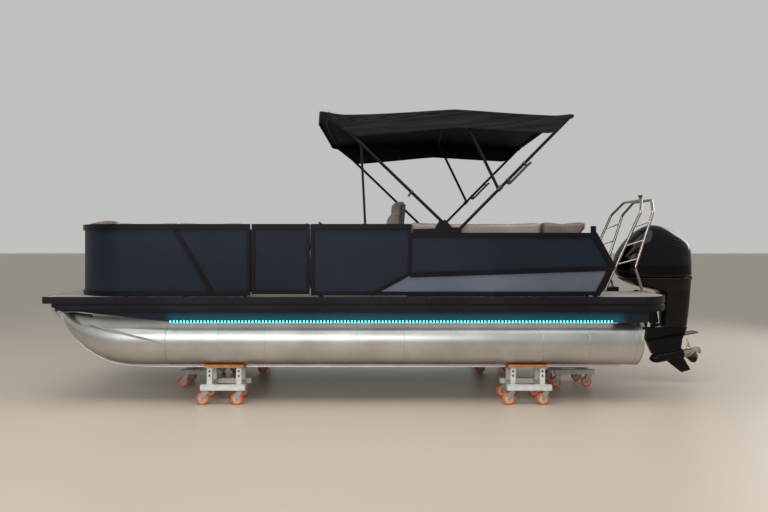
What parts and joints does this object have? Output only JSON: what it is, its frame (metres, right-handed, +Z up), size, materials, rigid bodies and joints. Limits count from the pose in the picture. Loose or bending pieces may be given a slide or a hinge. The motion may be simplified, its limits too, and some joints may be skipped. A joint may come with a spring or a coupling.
{
  "type": "pontoon boat",
  "caption": "Three-log pontoon boat with fenced deck, folding canopy, tow bar and trimmed outboard, parked on six caster dollies.",
  "frame": {"origin": "on the floor under the middle of the overall box", "axes": "+X to the bow, +Y to port, +Z up"},
  "size_m": [8.356, 2.59, 3.6342],
  "materials": {
    "brushed_logs": "brushed, with a soft shine",
    "mill_aluminium": "mill finish",
    "stainless": "polished",
    "deck_board": "plain",
    "deck_covering": "woven",
    "rub_rail": "satin",
    "dark_sheet": "satin",
    "silver_sheet": "satin",
    "dark_frame": "satin",
    "light_strip": "clear",
    "lounge_base": "satin",
    "taupe_vinyl": "grained",
    "brown_vinyl": "grained",
    "console": "satin",
    "wheel_grip": "satin",
    "black_plastic": "gloss",
    "black_paint": "gloss",
    "cowl": "gloss",
    "cast_block": "cast",
    "canopy_cloth": "woven",
    "white_paint": "satin",
    "bunk_wood": "sawn",
    "zinc": "zinc plated",
    "orange_tread": "smooth"
  },
  "bodies": {
    "boat": {"port_log": "brushed_logs", "starboard_log": "brushed_logs", "centre_log": "brushed_logs", "bow_eyes": "stainless", "log_risers": "mill_aluminium", "deck_beams": "mill_aluminium", "deck_board": "deck_board", "deck_covering": "deck_covering", "rub_rail": "rub_rail", "side_skirts": "dark_sheet", "light_strips": "light_strip", "transom_pod": "mill_aluminium", "side_fence_frames": "dark_frame", "bow_fence_frames": "dark_frame", "stern_fence_frames": "dark_frame", "fence_skins": "dark_sheet", "silver_panels": "silver_sheet", "bow_lounge_bases": "lounge_base", "bow_seat_cushions": "taupe_vinyl", "bow_back_cushions": "taupe_vinyl", "bow_bolsters": "brown_vinyl", "stern_lounge_base": "lounge_base", "stern_seat_cushions": "taupe_vinyl", "stern_back_cushion": "taupe_vinyl", "stern_corner_cushions": "brown_vinyl", "helm_console": "console", "helm_pedestal": "mill_aluminium", "tow_bar": "stainless", "tow_knob": "black_plastic", "clamp_bracket": "black_paint", "canopy_mounts": "dark_frame", "dolly_frames": "white_paint", "bunk_boards": "bunk_wood", "caster_forks": "zinc", "caster_wheels": "orange_tread"},
    "port_gate": {"port_gate_frame": "dark_frame", "port_gate_skin": "dark_sheet"},
    "bow_gate": {"bow_gate_frame": "dark_frame", "bow_gate_skin": "dark_sheet"},
    "stern_gate": {"stern_gate_frame": "dark_frame", "stern_gate_skin": "dark_sheet"},
    "steering_wheel": {"steering_wheel": "wheel_grip"},
    "helm_seat": {"helm_seat_shell": "lounge_base", "helm_seat_cushions": "taupe_vinyl"},
    "swivel": {"swivel_bracket": "black_paint"},
    "outboard": {"motor_leg": "black_paint", "gearcase": "black_paint", "cowl": "cowl", "powerhead": "cast_block"},
    "propeller": {"propeller": "stainless"},
    "rear_bow": {"rear_bow": "dark_frame", "canopy": "canopy_cloth"},
    "middle_bow": {"middle_bow": "dark_frame"},
    "front_bow": {"front_bow": "dark_frame"},
    "port_strut": {"port_strut": "dark_frame"},
    "starboard_strut": {"starboard_strut": "dark_frame"}
  },
  "joints": [
    {"name": "port_gate_hinge", "type": "hinge", "parent": "boat", "child": "port_gate", "pos_m": [1.041, 1.218, 1.444], "axis": [0, 0, -1], "range_deg": [0, 95]},
    {"name": "bow_gate_hinge", "type": "hinge", "parent": "boat", "child": "bow_gate", "pos_m": [3.868, 0.323, 1.444], "axis": [0, 0, -1], "range_deg": [0, 95]},
    {"name": "stern_gate_hinge", "type": "hinge", "parent": "boat", "child": "stern_gate", "pos_m": [-2.178, -1.057, 1.444], "axis": [0, 0, -1], "range_deg": [0, 95]},
    {"name": "outboard_tilt", "type": "hinge", "parent": "boat", "child": "swivel", "pos_m": [-3.372, 0, 1.238], "axis": [0, 1, 0], "range_deg": [-7, 40]},
    {"name": "outboard_steer", "type": "hinge", "parent": "swivel", "child": "outboard", "pos_m": [-3.52, 0, 1], "axis": [0.1822, 0, 0.9833], "range_deg": [-25, 25]},
    {"name": "propeller_spin", "type": "hinge", "parent": "outboard", "child": "propeller", "pos_m": [-4.16889, 0, 0.46151], "axis": [-0.9833, 0, 0.1822], "continuous": true},
    {"name": "steering_wheel_turn", "type": "hinge", "parent": "boat", "child": "steering_wheel", "pos_m": [0.955, -0.6, 2.109], "axis": [0.7071, 0, -0.7071], "range_deg": [-450, 450]},
    {"name": "helm_seat_swivel", "type": "hinge", "parent": "boat", "child": "helm_seat", "pos_m": [0.15, -0.6, 1.704], "axis": [0, 0, 1], "continuous": true},
    {"name": "bimini_lay_back", "type": "hinge", "parent": "boat", "child": "rear_bow", "pos_m": [-0.697, 0, 2.077], "axis": [0, -1, 0], "range_deg": [0, 30]},
    {"name": "bimini_fold", "type": "hinge", "parent": "rear_bow", "child": "front_bow", "pos_m": [-0.506, 0, 2.167], "axis": [0, -1, 0], "range_deg": [0, 85], "deforming": ["canopy"]},
    {"name": "middle_bow_fold", "type": "hinge", "parent": "rear_bow", "child": "middle_bow", "pos_m": [-1.17517, 0, 2.56189], "axis": [0, -1, 0], "range_deg": [0, 59.5]},
    {"name": "port_strut_hinge", "type": "hinge", "parent": "front_bow", "child": "port_strut", "pos_m": [0.44657, 1.208, 3.08368], "axis": [0, 1, 0], "range_deg": [0, 38]},
    {"name": "starboard_strut_hinge", "type": "hinge", "parent": "front_bow", "child": "starboard_strut", "pos_m": [0.44657, -1.208, 3.08368], "axis": [0, 1, 0], "range_deg": [0, 38]}
  ],
  "couplings": [
    {"joint": "steering_wheel_turn", "follows": "outboard_steer", "ratio": 18},
    {"joint": "middle_bow_fold", "follows": "bimini_fold", "ratio": 0.7}
  ]
}
